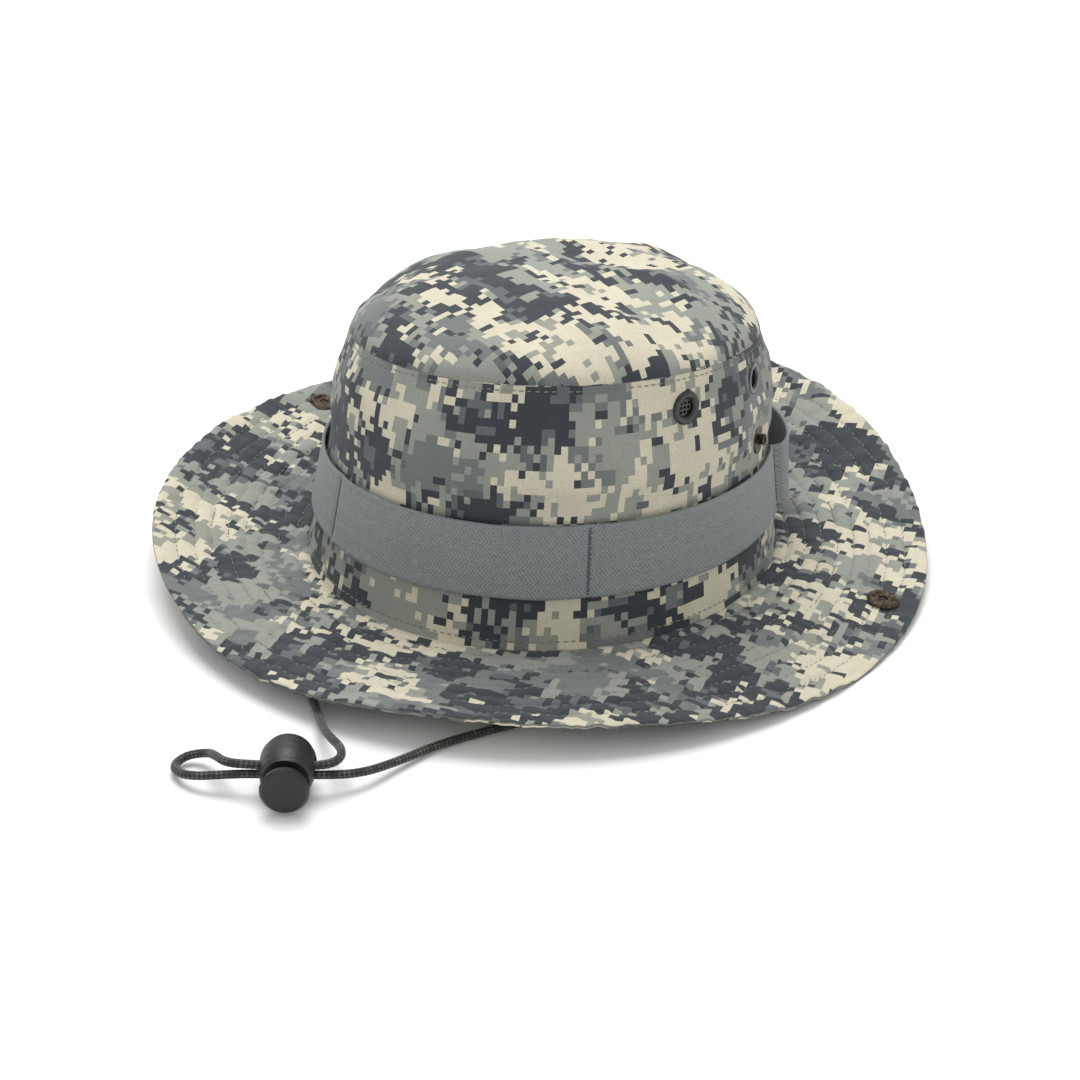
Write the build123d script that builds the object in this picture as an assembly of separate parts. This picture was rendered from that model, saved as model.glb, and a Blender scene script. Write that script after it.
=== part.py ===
from build123d import *
from math import atan2, cos, hypot, pi, radians, sin, tan
import os

# Boonie hat standing on the rim of its sweatband. Millimetres, +Z up, front towards -Y,
# origin on the surface under the middle of the head opening.

# Crown: an oval wall that tapers and leans a little, closed by a domed tip
SEAM_A = 90.5  # half width of the crown seam, across the head
SEAM_B = 100.5  # half length of the crown seam, front to back
SEAM_Z = 9.5  # height of the brim's top face at the crown seam
WALL_HEIGHT = 92.0
TOP_SHARE = 0.845  # size of the tip seam over the crown seam
LEAN_X = 4.0
LEAN_Y = -4.5
TILT_X = 0.07  # rise of the tip seam per mm towards +X
TILT_Y = -0.10  # and towards +Y, so the front stands higher
CLOTH = 1.2  # wall cloth with its lining
DOME = 23.0  # rise of the tip above its seam
TAPE_HEIGHT = 5.0
TAPE = 0.8

# Sweatband: a folded band inside the wall, its rim carrying the hat
SWEAT_HEIGHT = 30.0
SWEAT = 1.6
SWEAT_GAP = 0.3

# Brim: three plies, edge heights given every 30 degrees from +X towards +Y
BRIM_WIDTH = 61.5
PLY = 0.7
BRIM_EDGE = [3.5, 11.0, 29.0, 33.0, 22.0, 17.0, 21.0, 20.0, 13.5, 12.0, 15.5, 7.5]
BRIM_CURVE = 1.35  # above 1 the brim leaves the crown level and lifts towards its edge
SEAM_GAP = 0.6  # between the crown wall's foot and the brim's inner edge

# Side flaps of the brim, which fold up and snap to the crown
FOLD_X = 93.0
FOLD_GAP = 0.6
FOLD_Z = {"right": (8.5, 24.0), "left": (13.5, 19.5)}  # axis height at the front and back ends
FOLD_END = 128.0  # y of the two ends of the fold line
RELIEF_WIDTH = 9.0
RELIEF_LENGTH = 34.0

# Branch-loop band round the crown
BAND_LOW = 18.5
BAND_HEIGHT = 25.0
BAND = 1.3
BAND_GAP = 1.2
TACKS = 5
TACK_FIRST = -49.0
TACK_WIDTH = 2.4

# Vent eyelets, two on each side
EYELET_ANGLES = [-22.5, 8.5, 171.5, 202.5]
EYELET_UP = 79.0
EYELET_BORE = 7.0
EYELET_FLANGE = 13.0
EYELET_BARREL = 8.4
HOLE_CLEARANCE = 0.2

# Snaps: a socket on each side of the brim and its stud on the crown
SNAP_ANGLES = {"right": 10.0, "left": 164.0}
SNAP_OUT = 48.0
SNAP_DIA = 12.8
STUD_UP = 54.0
STUD_DIA = 11.6
POST = 3.0
SNAP_LIFT = 0.4  # of the socket and the cap off the curved brim

# Chin cord and its lock
CORD = 3.2
TAB_LENGTH = 12.0
TAB_BACK = -8.0  # y of the tabs' back ends
TAB_HOLD = 2.0  # of cord inside each tab
STRAND = 1.75  # the two strands sit this far above and below the lock's middle
LOCK_AT = Vector(16.0, -206.0, 9.85)
LOCK_TURN = -60.0  # plunger axis, degrees from +X
LOCK_DIA = 19.5
LOCK_BORE = 12.0
LOCK_BACK = 12.0
LOCK_FRONT = 7.0
LOCK_END = 2.0
TRAVEL = 3.0
SLIP = 0.3
STRAND_GAP = 0.15
SPRING_WIRE = 0.7
SPRING_TURNS = 3.5


def section(up, inset):
    """Oval of the crown wall at a height above the seam, drawn in by an inset."""
    share = up / WALL_HEIGHT
    slope_x = TILT_X * share
    slope_y = TILT_Y * share
    shrink = 1 - (1 - TOP_SHARE) * share
    centre = (LEAN_X * share, LEAN_Y * share, SEAM_Z + up)
    plane = Plane(origin=centre, x_dir=(1, 0, slope_x), z_dir=(-slope_x, -slope_y, 1))
    return plane * Ellipse(SEAM_A * shrink - inset, SEAM_B * shrink - inset)


def ring(low, high, outer, inner):
    """Band that follows the wall between two heights and two insets."""
    outside = loft([section(low, outer), section(high, outer)], ruled=True)
    inside = loft([section(low, inner), section(high, inner)], ruled=True)
    return outside - inside


def wall_point(angle, up):
    share = up / WALL_HEIGHT
    shrink = 1 - (1 - TOP_SHARE) * share
    x = SEAM_A * shrink * cos(radians(angle))
    y = SEAM_B * shrink * sin(radians(angle))
    z = SEAM_Z + up + share * (TILT_X * x + TILT_Y * y)
    return Vector(x + LEAN_X * share, y + LEAN_Y * share, z)


def wall_plane(angle, up):
    """Plane on the wall with its x axis round the crown and its z axis outwards."""
    here = wall_point(angle, up)
    around = wall_point(angle + 0.5, up) - here
    upward = wall_point(angle, up + 0.5) - here
    return Plane(origin=here, x_dir=around, z_dir=around.cross(upward))


def edge_height(angle):
    """Smooth closed curve through the brim's edge heights."""
    count = len(BRIM_EDGE)
    total = sum(BRIM_EDGE) / count
    for order in range(1, count // 2 + 1):
        weight = 1 if order == count // 2 else 2
        for i, height in enumerate(BRIM_EDGE):
            total += weight * height * cos(order * (angle - 2 * pi * i / count)) / count
    return total


def brim_top(x, y):
    """Height of the brim's top face over a point."""
    reach = hypot(x / SEAM_A, y / SEAM_B)
    angle = atan2(y / SEAM_B, x / SEAM_A)
    mean = (SEAM_A + SEAM_B) / 2
    out = max(0.0, (reach - 1) * mean / BRIM_WIDTH)
    return SEAM_Z + (edge_height(angle) - SEAM_Z) * min(out, 1.3) ** BRIM_CURVE


def brim_slabs():
    """The three plies over the whole brim, from the top one down."""
    step = 20.0
    nx = int((SEAM_A + BRIM_WIDTH) / step) + 2
    ny = int((SEAM_B + BRIM_WIDTH) / step) + 2
    rows = []
    for i in range(-nx, nx + 1):
        rows.append([(i * step, j * step, brim_top(i * step, j * step)) for j in range(-ny, ny + 1)])
    slab = extrude(Face.make_surface_from_array_of_points(rows, tol=1.0), amount=PLY, dir=(0, 0, -1))
    outer = Ellipse(SEAM_A + BRIM_WIDTH, SEAM_B + BRIM_WIDTH)
    outline = outer - Ellipse(SEAM_A + SEAM_GAP, SEAM_B + SEAM_GAP)
    prism = extrude(Plane.XY.offset(-40) * outline, amount=120)
    return [Pos(0, 0, -i * PLY) * slab & prism for i in range(3)]


def flap_zone(side):
    """Prism over one flap, with a relief at each end of its fold."""
    sign = 1 if side == "right" else -1
    near = FOLD_X + FOLD_GAP / 2
    far = SEAM_A + BRIM_WIDTH + 10
    end = SEAM_B + BRIM_WIDTH
    bend = FOLD_END - RELIEF_LENGTH
    points = [
        (near, -bend),
        (near + RELIEF_WIDTH, -FOLD_END),
        (near + RELIEF_WIDTH, -end),
        (far, -end),
        (far, end),
        (near + RELIEF_WIDTH, end),
        (near + RELIEF_WIDTH, FOLD_END),
        (near, bend),
    ]
    face = make_face(Polyline([(sign * x, y) for x, y in points], close=True))
    return extrude(Plane.XY.offset(-40) * face, amount=120)


def centre_zone():
    return Box(2 * FOLD_X - FOLD_GAP, 400, 200)


def snap_plane(side):
    """Plane on the brim's top face at a snap."""
    angle = radians(SNAP_ANGLES[side])
    x = (SEAM_A + SNAP_OUT) * cos(angle)
    y = (SEAM_B + SNAP_OUT) * sin(angle)
    z = brim_top(x, y)
    along_x = Vector(1, 0, brim_top(x + 1, y) - z)
    along_y = Vector(0, 1, brim_top(x, y + 1) - z)
    return Plane(origin=(x, y, z), x_dir=along_x, z_dir=along_x.cross(along_y))


def turned(points):
    """Solid turned about the local z axis from (radius, height) points."""
    return revolve(make_face(Plane.XZ * Polyline(points, close=True)), axis=Axis.Z)


def post_hole(plane, radius):
    return plane * Cylinder(radius + HOLE_CLEARANCE, 12)


def brim_plies():
    """Centre and two flaps of each ply, keyed by node name."""
    made = {}
    names = ["brim_upper_ply", "brim_interlining", "brim_under_ply"]
    for name, sheet in zip(names, brim_slabs()):
        made[name] = sheet & centre_zone()
        for side in ("right", "left"):
            flap = sheet & flap_zone(side)
            made[f"{name}_{side}"] = flap - post_hole(snap_plane(side), POST / 2)
    return made


def crown_wall():
    wall = ring(-3 * PLY, WALL_HEIGHT, 0, CLOTH)
    for angle in EYELET_ANGLES:
        wall -= post_hole(wall_plane(angle, EYELET_UP), EYELET_BARREL / 2)
    for angle in SNAP_ANGLES.values():
        wall -= post_hole(wall_plane(angle, STUD_UP), POST / 2)
    return wall


def dome_solid(radius, rise):
    """Solid under the tip's domed profile, turned about z."""
    shares = [(1.0, 0.0), (0.93, 0.34), (0.74, 0.68), (0.42, 0.92), (0.0, 1.0)]
    points = [(radius * r, rise * h) for r, h in shares]
    curve = Plane.XZ * Spline(points, tangents=[(-0.15, 1), (-1, 0)])
    base = Plane.XZ * Polyline([(0, rise), (0, 0), (radius, 0)])
    return revolve(make_face([curve, base]), axis=Axis.Z)


def crown_tip():
    half = SEAM_B * TOP_SHARE
    shell = dome_solid(half, DOME) - dome_solid(half - CLOTH, DOME - CLOTH)
    shell = scale(shell, by=(SEAM_A / SEAM_B, 1, 1))
    seam = (LEAN_X, LEAN_Y, SEAM_Z + WALL_HEIGHT)
    return Plane(origin=seam, x_dir=(1, 0, TILT_X), z_dir=(-TILT_X, -TILT_Y, 1)) * shell


def tip_seam_tape():
    high = WALL_HEIGHT - 0.5
    return ring(high - TAPE_HEIGHT, high, CLOTH + 0.2, CLOTH + 0.2 + TAPE)


def sweatband():
    """Band along the wall, carried straight down through the brim to the surface."""
    outer = CLOTH + SWEAT_GAP
    upper = ring(0, SWEAT_HEIGHT, outer, outer + SWEAT)
    rim = Ellipse(SEAM_A - outer, SEAM_B - outer) - Ellipse(SEAM_A - outer - SWEAT, SEAM_B - outer - SWEAT)
    return upper + extrude(rim, amount=SEAM_Z)


def branch_loop_band():
    return ring(BAND_LOW, BAND_LOW + BAND_HEIGHT, -BAND_GAP - BAND, -BAND_GAP)


def band_bartacks():
    """Stitching that holds the band: a pad behind it and a row of thread in front."""
    made = []
    for i in range(TACKS):
        angle = TACK_FIRST + i * 360 / TACKS
        plane = wall_plane(angle, BAND_LOW + BAND_HEIGHT / 2)
        tall = BAND_HEIGHT - 2
        pad = Box(TACK_WIDTH, tall, BAND_GAP - 0.5)
        thread = Box(TACK_WIDTH, tall, 0.5)
        made.append(plane * Pos(0, 0, BAND_GAP / 2) * pad)
        made.append(plane * Pos(0, 0, BAND_GAP + BAND + 0.5) * thread)
    return made


def vent_eyelets():
    bore = EYELET_BORE / 2
    barrel = EYELET_BARREL / 2
    rim = EYELET_FLANGE / 2
    tail = -CLOTH - 1.4
    profile = [(bore, tail), (barrel, tail), (barrel, 0), (rim, 0), (rim - 0.2, 0.7), (rim - 0.9, 1.2)]
    profile += [(bore + 0.9, 1.2), (bore, 0.5)]
    return [wall_plane(angle, EYELET_UP) * turned(profile) for angle in EYELET_ANGLES]


def eyelet_washers():
    inner = EYELET_BARREL / 2 + 0.1
    rim = EYELET_FLANGE / 2
    lift = -CLOTH - 0.7
    profile = [(inner, lift - 0.7), (rim, lift - 0.7), (rim, lift), (inner, lift)]
    return [wall_plane(angle, EYELET_UP) * turned(profile) for angle in EYELET_ANGLES]


def eyelet_screens():
    disc = Pos(0, 0, -0.6) * Cylinder(EYELET_BORE / 2 - 0.05, 0.4)
    disc -= [Pos(x, y, -0.6) * Cylinder(0.55, 1) for x in (-1.7, 0, 1.7) for y in (-1.7, 0, 1.7)]
    return [wall_plane(angle, EYELET_UP) * disc for angle in EYELET_ANGLES]


def snap_socket(side):
    rim = SNAP_DIA / 2
    well = POST / 2 + 0.4
    profile = [(well, SNAP_LIFT), (rim, SNAP_LIFT), (rim, 0.7), (rim - 1, 1.5), (rim - 2, 1.6)]
    profile += [(rim - 2.8, 1), (well, 1)]
    return snap_plane(side) * turned(profile)


def snap_cap(side):
    """Domed cap under the brim whose post passes up through the plies."""
    under = -3 * PLY - SNAP_LIFT
    stem = POST / 2
    rim = SNAP_DIA / 2 - 0.2
    profile = [(0, under - 1.5), (rim - 2.6, under - 1.35), (rim - 0.2, under - 0.6), (rim, under)]
    profile += [(stem, under), (stem, 0.7), (0, 0.7)]
    return snap_plane(side) * turned(profile)


def crown_snap_studs():
    rim = STUD_DIA / 2
    profile = [(1.5, 0.05), (rim, 0.05), (rim - 0.3, 0.7), (2.6, 1.0), (2.0, 1.3), (2.0, 2.4), (2.4, 2.9)]
    profile += [(2.0, 3.3), (1.5, 3.3)]
    return [wall_plane(angle, STUD_UP) * turned(profile) for angle in SNAP_ANGLES.values()]


def crown_snap_posts():
    under = -CLOTH - 0.4
    rim = STUD_DIA / 2 - 0.4
    stem = POST / 2 - 0.05
    profile = [(0, under - 0.8), (rim, under - 0.8), (rim, under), (stem, under), (stem, 2.6), (0, 2.6)]
    return [wall_plane(angle, STUD_UP) * turned(profile) for angle in SNAP_ANGLES.values()]


def lock_plane():
    """Lock frame: x along the cord hole, y up, z along the plunger towards its cap."""
    turn = radians(LOCK_TURN)
    return Plane(origin=LOCK_AT, x_dir=(-sin(turn), cos(turn), 0), z_dir=(cos(turn), sin(turn), 0))


def cord_slot(low, high):
    tall = 2 * (STRAND + CORD / 2) + 0.5
    return Pos(0, 0, (low + high) / 2) * Box(2 * LOCK_DIA, tall, high - low)


def cord_lock_body():
    radius = LOCK_DIA / 2
    outline = [(0, -LOCK_BACK), (radius - 3.6, -LOCK_BACK), (radius - 1.3, -LOCK_BACK + 2.2)]
    outline += [(radius - 0.2, -LOCK_BACK + 5.4), (radius, -2.5), (radius - 0.2, 1.5), (radius - 0.9, 5.2)]
    outline += [(radius - 1.7, LOCK_FRONT), (0, LOCK_FRONT)]
    bore_floor = LOCK_END - LOCK_BACK
    bore = Pos(0, 0, (bore_floor + LOCK_FRONT) / 2) * Cylinder(LOCK_BORE / 2, LOCK_FRONT - bore_floor)
    edge = CORD / 2 + STRAND_GAP
    return lock_plane() * (turned(outline) - bore - cord_slot(-edge - TRAVEL, edge))


def plunger_tail():
    return -CORD / 2 - STRAND_GAP - 2.4


def cord_lock_plunger():
    stem = LOCK_BORE / 2 - SLIP
    seat = LOCK_FRONT + TRAVEL + 0.2
    outline = [(0, plunger_tail()), (stem, plunger_tail()), (stem, seat), (stem + 1.9, seat)]
    outline += [(stem + 2.7, seat + 3.2), (stem + 1.7, seat + 4.3), (0, seat + 4.5)]
    edge = CORD / 2 + STRAND_GAP
    return lock_plane() * (turned(outline) - cord_slot(-edge, edge + TRAVEL))


def cord_lock_spring():
    low = LOCK_END - LOCK_BACK + SPRING_WIRE / 2 + 0.05
    high = plunger_tail() - SPRING_WIRE / 2 - 0.05
    path = Helix(pitch=(high - low) / SPRING_TURNS, height=high - low, radius=LOCK_BORE / 2 - 1.6)
    wire = sweep(Plane(path @ 0, z_dir=path % 0) * Circle(SPRING_WIRE / 2), path=path, is_frenet=True)
    return lock_plane() * Pos(0, 0, low) * wire


def chin_cord_tabs():
    """Folded tapes in the sweatband seam that hold the two ends of the cord."""
    tape = Box(3.4, TAB_LENGTH, 3.4)
    x = SEAM_A + 0.3
    return [Pos(sign * x, TAB_BACK - TAB_LENGTH / 2, 4.3) * tape for sign in (1, -1)]


def cord_route():
    """Points from the right tab through the lock, round its loop and back to the left tab."""
    start = SEAM_A + 0.3
    end_y = TAB_BACK - TAB_LENGTH + TAB_HOLD
    frame = lock_plane()
    right = [(start, end_y, 4.3), (92, -44, 2.4), (88, -72, 1.8), (76, -101, 1.8), (58, -128, 1.8)]
    right += [(44, -152, 1.9), (39, -171, 3.0), (35, -189, 6.0)]
    loop = [(-3.5, -217, 7.2), (-11.5, -219.8, 5.4), (-19, -219.4, 3.6), (-24.8, -215.4, 2.7)]
    loop += [(-24.8, -207.6, 2.9), (-17.5, -204.6, 4.9), (-11, -209.3, 8.2), (-3.5, -214.2, 10.6)]
    left = [(29.5, -195, 12), (26, -187, 11.5), (15, -179.5, 9.5), (5, -169, 5.6), (-5, -157, 2.6)]
    left += [(-18, -144, 1.8), (-40, -128, 1.8), (-66, -106, 1.8)]
    left += [(-84, -78, 1.8), (-92.5, -48, 2.2), (-start, end_y, 4.3)]
    low = [frame.from_local_coords(Vector(12 * s, -STRAND, 0)) for s in (1, -1)]
    high = [frame.from_local_coords(Vector(x, STRAND, 0)) for x in (-12, 10)]
    return [Vector(*p) for p in right] + low + [Vector(*p) for p in loop] + high + [Vector(*p) for p in left]


def chin_cord():
    points = cord_route()
    radii = []
    for a, b, c in zip(points, points[1:], points[2:]):
        half = radians((b - a).get_angle(c - b)) / 2
        radii.append(0.45 * min((b - a).length, (c - b).length) / tan(half))
    print("cord radii mm:", [round(r, 1) for r in radii])
    path = FilletPolyline(*points, radius=radii)
    tube = sweep(Plane(path @ 0, z_dir=path % 0) * Circle(CORD / 2), path=path)
    share = tube.volume / (pi * CORD**2 / 4 * path.length)
    print("cord length mm:", round(path.length, 1), "volume share:", round(share, 4))
    return tube


def assembly():
    """Every node of the hat as name and shape."""
    nodes = {"crown_wall": crown_wall(), "crown_tip": crown_tip(), "tip_seam_tape": tip_seam_tape()}
    nodes["sweatband"] = sweatband()
    nodes |= brim_plies()
    nodes["branch_loop_band"] = branch_loop_band()
    nodes["band_bartacks"] = band_bartacks()
    nodes["vent_eyelets"] = vent_eyelets()
    nodes["eyelet_washers"] = eyelet_washers()
    nodes["eyelet_screens"] = eyelet_screens()
    for side in ("right", "left"):
        nodes[f"snap_socket_{side}"] = snap_socket(side)
        nodes[f"snap_cap_{side}"] = snap_cap(side)
    nodes["crown_snap_studs"] = crown_snap_studs()
    nodes["crown_snap_posts"] = crown_snap_posts()
    nodes["chin_cord_tabs"] = chin_cord_tabs()
    nodes["chin_cord"] = chin_cord()
    nodes["cord_lock_body"] = cord_lock_body()
    nodes["cord_lock_plunger"] = cord_lock_plunger()
    nodes["cord_lock_spring"] = cord_lock_spring()
    return nodes


def fold_axis(side):
    """The fold line's middle and its direction, about which a flap turns up."""
    sign = 1 if side == "right" else -1
    front, back = FOLD_Z[side]
    along = Vector(0, -sign * 2 * FOLD_END, -sign * (back - front)).normalized()
    return Vector(sign * FOLD_X, 0, (front + back) / 2), along


def save(nodes):
    os.makedirs("parts", exist_ok=True)
    for name, shape in nodes.items():
        pieces = shape if isinstance(shape, list) else [shape]
        solids = [solid for piece in pieces for solid in piece.solids()]
        whole = solids[0] if len(solids) == 1 else Compound(children=solids)
        export_step(whole, f"parts/{name}.step")


for side in ("right", "left"):
    middle, along = fold_axis(side)
    print(side, "fold at mm:", [round(v, 2) for v in middle], "axis:", [round(v, 4) for v in along])
save(assembly())
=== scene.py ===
from math import atan2, cos, exp, hypot, pi, radians, sin

import bmesh
import bpy
from mathutils import Matrix, Vector, noise


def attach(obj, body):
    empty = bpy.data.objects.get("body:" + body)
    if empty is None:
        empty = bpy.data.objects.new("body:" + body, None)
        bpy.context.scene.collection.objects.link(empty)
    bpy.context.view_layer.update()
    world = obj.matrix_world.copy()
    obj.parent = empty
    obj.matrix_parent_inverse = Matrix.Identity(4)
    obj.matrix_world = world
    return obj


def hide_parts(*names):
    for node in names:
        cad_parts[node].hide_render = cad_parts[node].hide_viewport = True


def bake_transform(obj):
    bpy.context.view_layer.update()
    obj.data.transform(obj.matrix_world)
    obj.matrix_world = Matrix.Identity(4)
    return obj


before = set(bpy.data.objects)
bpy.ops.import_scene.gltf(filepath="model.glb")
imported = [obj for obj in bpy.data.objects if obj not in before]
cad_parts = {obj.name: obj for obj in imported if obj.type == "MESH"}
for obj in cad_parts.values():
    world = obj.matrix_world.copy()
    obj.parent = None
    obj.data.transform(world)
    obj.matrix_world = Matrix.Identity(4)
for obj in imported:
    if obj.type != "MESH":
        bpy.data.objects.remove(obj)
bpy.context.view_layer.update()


# Camera
# A long lens stands a little over a metre away, off the front left quarter of
# the hat, looks down on the brim and leans slightly to one side.
def aim_camera():
    turn, rise, lean = radians(28.24), radians(26.9), radians(2.37)
    right = Vector((cos(turn), sin(turn), 0))
    back = Vector((sin(turn) * cos(rise), -cos(turn) * cos(rise), sin(rise)))
    up = back.cross(right)
    across = right * cos(lean) + up * sin(lean)
    upright = up * cos(lean) - right * sin(lean)
    lens = bpy.data.cameras.new("camera")
    lens.lens = 85.85
    lens.sensor_width = 36
    camera = bpy.data.objects.new("camera", lens)
    aimed_at = Vector((0, 0, 0.0046)) - right * 0.00155
    stand = Matrix((across, upright, back)).transposed().to_4x4()
    camera.matrix_world = Matrix.Translation(aimed_at + back * 1.0377) @ stand
    bpy.context.scene.collection.objects.link(camera)
    bpy.context.scene.camera = camera


aim_camera()


# Chin cord
# One limp braided cord, sewn into the sweatband seam at both ends. It comes out
# under the brim, runs twice through the lock and makes a small loop beyond it.
cord_thickness = 0.0032
braid_lay = 0.0034  # of one full turn of the yarns
cord_points = [
    (0.0908, -0.018, 0.0043),
    (0.092, -0.044, 0.0024),
    (0.088, -0.072, 0.0018),
    (0.076, -0.101, 0.0018),
    (0.058, -0.128, 0.0018),
    (0.044, -0.152, 0.0019),
    (0.039, -0.171, 0.003),
    (0.035, -0.189, 0.006),
    (0.0264, -0.2, 0.0081),
    (0.0056, -0.212, 0.0081),
    (-0.0035, -0.217, 0.0072),
    (-0.0115, -0.2198, 0.0054),
    (-0.019, -0.2194, 0.0036),
    (-0.0248, -0.2154, 0.0027),
    (-0.0248, -0.2076, 0.0029),
    (-0.0175, -0.2046, 0.0049),
    (-0.011, -0.2093, 0.0082),
    (-0.0035, -0.2142, 0.0106),
    (0.0056, -0.212, 0.0116),
    (0.0247, -0.201, 0.0116),
    (0.0295, -0.195, 0.012),
    (0.026, -0.187, 0.0115),
    (0.015, -0.1795, 0.0095),
    (0.005, -0.169, 0.0056),
    (-0.005, -0.157, 0.0026),
    (-0.018, -0.144, 0.0018),
    (-0.04, -0.128, 0.0018),
    (-0.066, -0.106, 0.0018),
    (-0.084, -0.078, 0.0018),
    (-0.0925, -0.048, 0.0022),
    (-0.0908, -0.018, 0.0043),
]


def cord_line():
    """Close points along the smooth spline through the cord's route."""
    curve = bpy.data.curves.new("cord_route", "CURVE")
    curve.dimensions = "3D"
    curve.resolution_u = 24
    spline = curve.splines.new("NURBS")
    spline.points.add(len(cord_points) - 1)
    for point, place in zip(spline.points, cord_points):
        point.co = (*place, 1)
    spline.order_u = 3
    spline.use_endpoint_u = True
    route = bpy.data.objects.new("cord_route", curve)
    bpy.context.scene.collection.objects.link(route)
    bpy.context.view_layer.update()
    line = bpy.data.meshes.new_from_object(route)
    points = [v.co.copy() for v in line.vertices]
    bpy.data.objects.remove(route)
    bpy.data.meshes.remove(line)
    return points


def paint(red, green, blue):
    """A colour as given, turned to the light it gives back."""
    made = [v / 255 / 12.92 if v <= 10 else ((v / 255 + 0.055) / 1.055) ** 2.4 for v in (red, green, blue)]
    return (*made, 1)


def woven_piece(name, rounds, rows, place, cut, ring=True):
    """A closed shell of cloth from a flat grid.

    place(u, v) is where a thread lies, and cut(u, v) where it was in the bolt. v runs round
    its section, and u round the hat in a ring, or else from one cut end to the other."""
    bm = bmesh.new()
    bolt = bm.loops.layers.uv.new("cloth")
    bmesh.ops.create_grid(bm, x_segments=rounds, y_segments=rows, size=0.5)
    for face in bm.faces:
        face.smooth = True
        for loop in face.loops:
            loop[bolt].uv = cut(loop.vert.co.x + 0.5, loop.vert.co.y + 0.5)
    for vert in bm.verts:
        u, v = vert.co.x + 0.5, vert.co.y + 0.5
        vert.co = place(0.0 if ring and u > 0.9999 else u, 0.0 if v > 0.9999 else v)
    bmesh.ops.remove_doubles(bm, verts=bm.verts, dist=0.000002)
    loose = [e for e in bm.edges if not e.link_faces]
    bmesh.ops.delete(bm, geom=loose, context="EDGES")
    if not ring:
        rim = [e for e in bm.edges if e.is_boundary]
        for cap in bmesh.ops.holes_fill(bm, edges=rim, sides=0)["faces"]:
            cap.smooth = False
            for edge in cap.edges:
                edge.smooth = False
    bmesh.ops.recalc_face_normals(bm, faces=bm.faces)
    return made_piece(name, bm)


def made_piece(name, bm):
    mesh = bpy.data.meshes.new(name)
    bm.to_mesh(mesh)
    bm.free()
    made = bpy.data.objects.new(name, mesh)
    bpy.context.scene.collection.objects.link(made)
    return made


def dress(made, material):
    made.data.materials.clear()
    made.data.materials.append(material)


class Wiring:
    """Adds nodes to a tree and joins them in short calls."""

    def __init__(self, tree):
        self.tree = tree

    def add(self, kind, inputs=(), **settings):
        node = self.tree.nodes.new(kind)
        for key, value in settings.items():
            setattr(node, key, value)
        for socket, value in dict(inputs).items():
            self.set(node.inputs[socket], value)
        return node

    def set(self, socket, value):
        if isinstance(value, bpy.types.NodeSocket):
            self.tree.links.new(value, socket)
        else:
            socket.default_value = value

    def maths(self, operation, a, b=0.0, c=0.0):
        return self.add("ShaderNodeMath", {0: a, 1: b, 2: c}, operation=operation).outputs[0]

    def vector(self, operation, a, b=(0, 0, 0), scale=1.0):
        node = self.add("ShaderNodeVectorMath", {0: a, 1: b}, operation=operation)
        if operation == "SCALE":
            self.set(node.inputs[3], scale)
        return node.outputs[0]

    def noise(self, place, scale, detail=2.0, roughness=0.5):
        given = {"Vector": place, "Scale": scale, "Detail": detail, "Roughness": roughness}
        made = self.add("ShaderNodeTexNoise", given)
        return made.outputs["Fac"]

    def mix(self, share, a, b, blend="MIX"):
        node = self.add("ShaderNodeMix", data_type="RGBA", blend_type=blend)
        self.set(node.inputs[0], share)
        self.set(node.inputs[6], a)
        self.set(node.inputs[7], b)
        return node.outputs[2]

    def between(self, value, low, high, to_low=0.0, to_high=1.0):
        names = {"Value": value, "From Min": low, "From Max": high, "To Min": to_low, "To Max": to_high}
        return self.add("ShaderNodeMapRange", names).outputs["Result"]


def effect(name, inputs, outputs):
    """An empty shader node group with named sockets."""
    tree = bpy.data.node_groups.new(name, "ShaderNodeTree")
    for socket, kind, value in inputs:
        made = tree.interface.new_socket(socket, in_out="INPUT", socket_type=kind)
        made.default_value = value
    for socket, kind in outputs:
        tree.interface.new_socket(socket, in_out="OUTPUT", socket_type=kind)
    return tree, tree.nodes.new("NodeGroupInput").outputs, tree.nodes.new("NodeGroupOutput").inputs


def finish_of(name, roughness, metallic=0.0, sheen=0.0, coat=0.0):
    """A material with one Principled shader, ready to be wired."""
    material = bpy.data.materials.new(name)
    material.use_nodes = True
    wiring = Wiring(material.node_tree)
    shader = material.node_tree.nodes["Principled BSDF"]
    shader.inputs["Roughness"].default_value = roughness
    shader.inputs["Metallic"].default_value = metallic
    shader.inputs["Sheen Weight"].default_value = sheen
    shader.inputs["Sheen Roughness"].default_value = 0.4
    shader.inputs["Coat Weight"].default_value = coat
    return material, wiring, shader


def own_map(wiring):
    return wiring.add("ShaderNodeUVMap", uv_map="cloth").outputs[0]


def raised(wiring, shader, height, distance, strength=1.0):
    bump = wiring.add("ShaderNodeBump", {"Height": height, "Distance": distance, "Strength": strength})
    wiring.set(shader.inputs["Normal"], bump.outputs["Normal"])


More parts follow.
